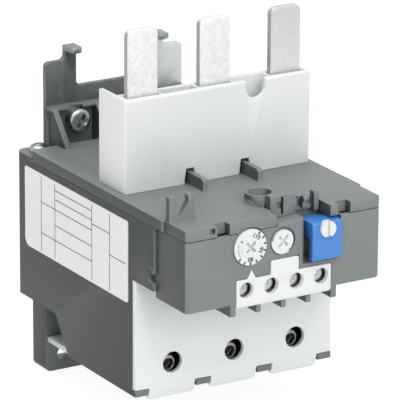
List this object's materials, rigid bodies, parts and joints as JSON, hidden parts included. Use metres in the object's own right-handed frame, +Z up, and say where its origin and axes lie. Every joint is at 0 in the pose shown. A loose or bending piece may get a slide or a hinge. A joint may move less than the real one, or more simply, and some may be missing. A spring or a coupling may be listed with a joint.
{
  "type": "thermal overload relay",
  "caption": "Thermal overload relay: upright tinned lugs in a white shroud, sheet hooks behind, and a front module with dial, test disc and blue reset lever.",
  "frame": {"origin": "centre of the flat back of the housing, in the plane that lies on the panel, midway in width and 27.1 mm below the seam under the deck cover", "axes": "+X to the right seen from the front, +Y into the panel, +Z up, along the lugs"},
  "size_m": [0.0838, 0.1256, 0.1495],
  "materials": {
    "housing_grey": "fine moulded texture",
    "white_plastic": "satin moulded",
    "blue_plastic": "satin moulded",
    "inner_plastic": "moulded",
    "label_film": "matt film",
    "bracket_sheet": "dark passivated",
    "zinc_steel": "bluish zinc",
    "spring_steel": "drawn wire",
    "tinned_lug": "mottled tin",
    "terminal_copper": "rolled copper",
    "contact_brass": "rolled",
    "bimetal": "rolled",
    "heater_alloy": "dull"
  },
  "bodies": {
    "relay_body": {"base_housing": "housing_grey", "deck_cover": "housing_grey", "module_case": "housing_grey", "aux_terminal_plate": "white_plastic", "lug_shroud": "white_plastic", "terminal_cover": "white_plastic", "bottom_tray": "white_plastic", "side_label": "label_film", "fixing_bracket": "bracket_sheet", "bracket_screws": "zinc_steel", "rim_screws": "zinc_steel", "reset_spring": "spring_steel", "trip_pin": "zinc_steel", "latch_frame": "housing_grey", "latch_spring": "spring_steel", "latch_pawl": "white_plastic", "line_lug_1": "tinned_lug", "terminal_bar_1": "terminal_copper", "bimetal_1": "bimetal", "heater_1": "heater_alloy", "line_lug_2": "tinned_lug", "terminal_bar_2": "terminal_copper", "bimetal_2": "bimetal", "heater_2": "heater_alloy", "line_lug_3": "tinned_lug", "terminal_bar_3": "terminal_copper", "bimetal_3": "bimetal", "heater_3": "heater_alloy", "aux_strip_1": "contact_brass", "aux_strip_2": "contact_brass", "aux_strip_3": "contact_brass", "aux_strip_4": "contact_brass"},
    "setting_dial": {"setting_dial": "white_plastic"},
    "test_disc": {"test_disc": "white_plastic"},
    "reset_lever": {"reset_lever": "blue_plastic"},
    "reset_stud": {"reset_stud": "white_plastic"},
    "trip_slide": {"trip_slide": "inner_plastic"},
    "phase_failure_slide": {"phase_failure_slide": "inner_plastic"},
    "trip_lever": {"trip_lever": "inner_plastic", "compensation_strip": "bimetal"},
    "contact_carrier": {"contact_carrier": "inner_plastic", "break_contact_bridge": "contact_brass", "make_contact_bridge": "contact_brass"},
    "lift_clamp_1": {"lift_clamp_1": "zinc_steel"},
    "clamp_screw_1": {"clamp_screw_1": "zinc_steel"},
    "lift_clamp_2": {"lift_clamp_2": "zinc_steel"},
    "clamp_screw_2": {"clamp_screw_2": "zinc_steel"},
    "lift_clamp_3": {"lift_clamp_3": "zinc_steel"},
    "clamp_screw_3": {"clamp_screw_3": "zinc_steel"},
    "aux_saddle_1": {"aux_saddle_1": "zinc_steel"},
    "aux_screw_1": {"aux_screw_1": "zinc_steel"},
    "aux_saddle_2": {"aux_saddle_2": "zinc_steel"},
    "aux_screw_2": {"aux_screw_2": "zinc_steel"},
    "aux_saddle_3": {"aux_saddle_3": "zinc_steel"},
    "aux_screw_3": {"aux_screw_3": "zinc_steel"},
    "aux_saddle_4": {"aux_saddle_4": "zinc_steel"},
    "aux_screw_4": {"aux_screw_4": "zinc_steel"}
  },
  "joints": [
    {"name": "dial_turn", "type": "hinge", "parent": "relay_body", "child": "setting_dial", "pos_m": [-0.0142, -0.122, 0.0216], "axis": [0, 1, 0], "range_deg": [-135, 135]},
    {"name": "test_disc_turn", "type": "hinge", "parent": "relay_body", "child": "test_disc", "pos_m": [-0.0006, -0.122, 0.0216], "axis": [0, 1, 0], "range_deg": [0, 90]},
    {"name": "reset_push", "type": "slide", "parent": "relay_body", "child": "reset_lever", "axis": [0, 1, 0], "range_m": [0, 0.0018], "stiffness_N_per_m": 400, "springref_m": -0.003, "deforming": ["reset_spring"]},
    {"name": "reset_stud_turn", "type": "hinge", "parent": "reset_lever", "child": "reset_stud", "pos_m": [0.0165, -0.1245, 0.024], "axis": [0, 1, 0], "range_deg": [0, 90]},
    {"name": "trip_slide_travel", "type": "slide", "parent": "relay_body", "child": "trip_slide", "axis": [1, 0, 0], "range_m": [0, 0.002]},
    {"name": "phase_failure_slide_travel", "type": "slide", "parent": "relay_body", "child": "phase_failure_slide", "axis": [1, 0, 0], "range_m": [0, 0.002]},
    {"name": "trip_lever_swing", "type": "hinge", "parent": "relay_body", "child": "trip_lever", "pos_m": [-0.0074, -0.117, 0.0176], "axis": [0, 0, 1], "range_deg": [-10.8, 0]},
    {"name": "contact_carrier_travel", "type": "slide", "parent": "relay_body", "child": "contact_carrier", "axis": [0, 1, 0], "range_m": [0, 0.00146]},
    {"name": "clamp_screw_turn_1", "type": "hinge", "parent": "relay_body", "child": "clamp_screw_1", "pos_m": [-0.0261, -0.0862, -0.03185], "axis": [0, 1, 0], "range_deg": [0, 1728]},
    {"name": "lift_clamp_travel_1", "type": "slide", "parent": "relay_body", "child": "lift_clamp_1", "axis": [0, -1, 0], "range_m": [0, 0.006]},
    {"name": "clamp_screw_turn_2", "type": "hinge", "parent": "relay_body", "child": "clamp_screw_2", "pos_m": [0, -0.0862, -0.03185], "axis": [0, 1, 0], "range_deg": [0, 1728]},
    {"name": "lift_clamp_travel_2", "type": "slide", "parent": "relay_body", "child": "lift_clamp_2", "axis": [0, -1, 0], "range_m": [0, 0.006]},
    {"name": "clamp_screw_turn_3", "type": "hinge", "parent": "relay_body", "child": "clamp_screw_3", "pos_m": [0.0261, -0.0862, -0.03185], "axis": [0, 1, 0], "range_deg": [0, 1728]},
    {"name": "lift_clamp_travel_3", "type": "slide", "parent": "relay_body", "child": "lift_clamp_3", "axis": [0, -1, 0], "range_m": [0, 0.006]},
    {"name": "aux_saddle_travel_1", "type": "slide", "parent": "relay_body", "child": "aux_saddle_1", "axis": [0, -1, 0], "range_m": [0, 0.0018]},
    {"name": "aux_screw_turn_1", "type": "hinge", "parent": "aux_saddle_1", "child": "aux_screw_1", "pos_m": [-0.01568, -0.1179, 0.00565], "axis": [0, -1, 0], "range_deg": [0, 1080]},
    {"name": "aux_saddle_travel_2", "type": "slide", "parent": "relay_body", "child": "aux_saddle_2", "axis": [0, -1, 0], "range_m": [0, 0.0018]},
    {"name": "aux_screw_turn_2", "type": "hinge", "parent": "aux_saddle_2", "child": "aux_screw_2", "pos_m": [-0.00522, -0.1179, 0.00565], "axis": [0, -1, 0], "range_deg": [0, 1080]},
    {"name": "aux_saddle_travel_3", "type": "slide", "parent": "relay_body", "child": "aux_saddle_3", "axis": [0, -1, 0], "range_m": [0, 0.0018]},
    {"name": "aux_screw_turn_3", "type": "hinge", "parent": "aux_saddle_3", "child": "aux_screw_3", "pos_m": [0.00522, -0.1179, 0.00565], "axis": [0, -1, 0], "range_deg": [0, 1080]},
    {"name": "aux_saddle_travel_4", "type": "slide", "parent": "relay_body", "child": "aux_saddle_4", "axis": [0, -1, 0], "range_m": [0, 0.0018]},
    {"name": "aux_screw_turn_4", "type": "hinge", "parent": "aux_saddle_4", "child": "aux_screw_4", "pos_m": [0.01568, -0.1179, 0.00565], "axis": [0, -1, 0], "range_deg": [0, 1080]}
  ],
  "couplings": [
    {"joint": "trip_lever_swing", "follows": "trip_slide_travel", "rad_per_m": -92.6},
    {"joint": "contact_carrier_travel", "follows": "trip_slide_travel", "ratio": 0.725},
    {"joint": "clamp_screw_turn_1", "follows": "lift_clamp_travel_1", "rad_per_m": 5026.5},
    {"joint": "clamp_screw_turn_2", "follows": "lift_clamp_travel_2", "rad_per_m": 5026.5},
    {"joint": "clamp_screw_turn_3", "follows": "lift_clamp_travel_3", "rad_per_m": 5026.5},
    {"joint": "aux_screw_turn_1", "follows": "aux_saddle_travel_1", "rad_per_m": 10472},
    {"joint": "aux_screw_turn_2", "follows": "aux_saddle_travel_2", "rad_per_m": 10472},
    {"joint": "aux_screw_turn_3", "follows": "aux_saddle_travel_3", "rad_per_m": 10472},
    {"joint": "aux_screw_turn_4", "follows": "aux_saddle_travel_4", "rad_per_m": 10472}
  ]
}
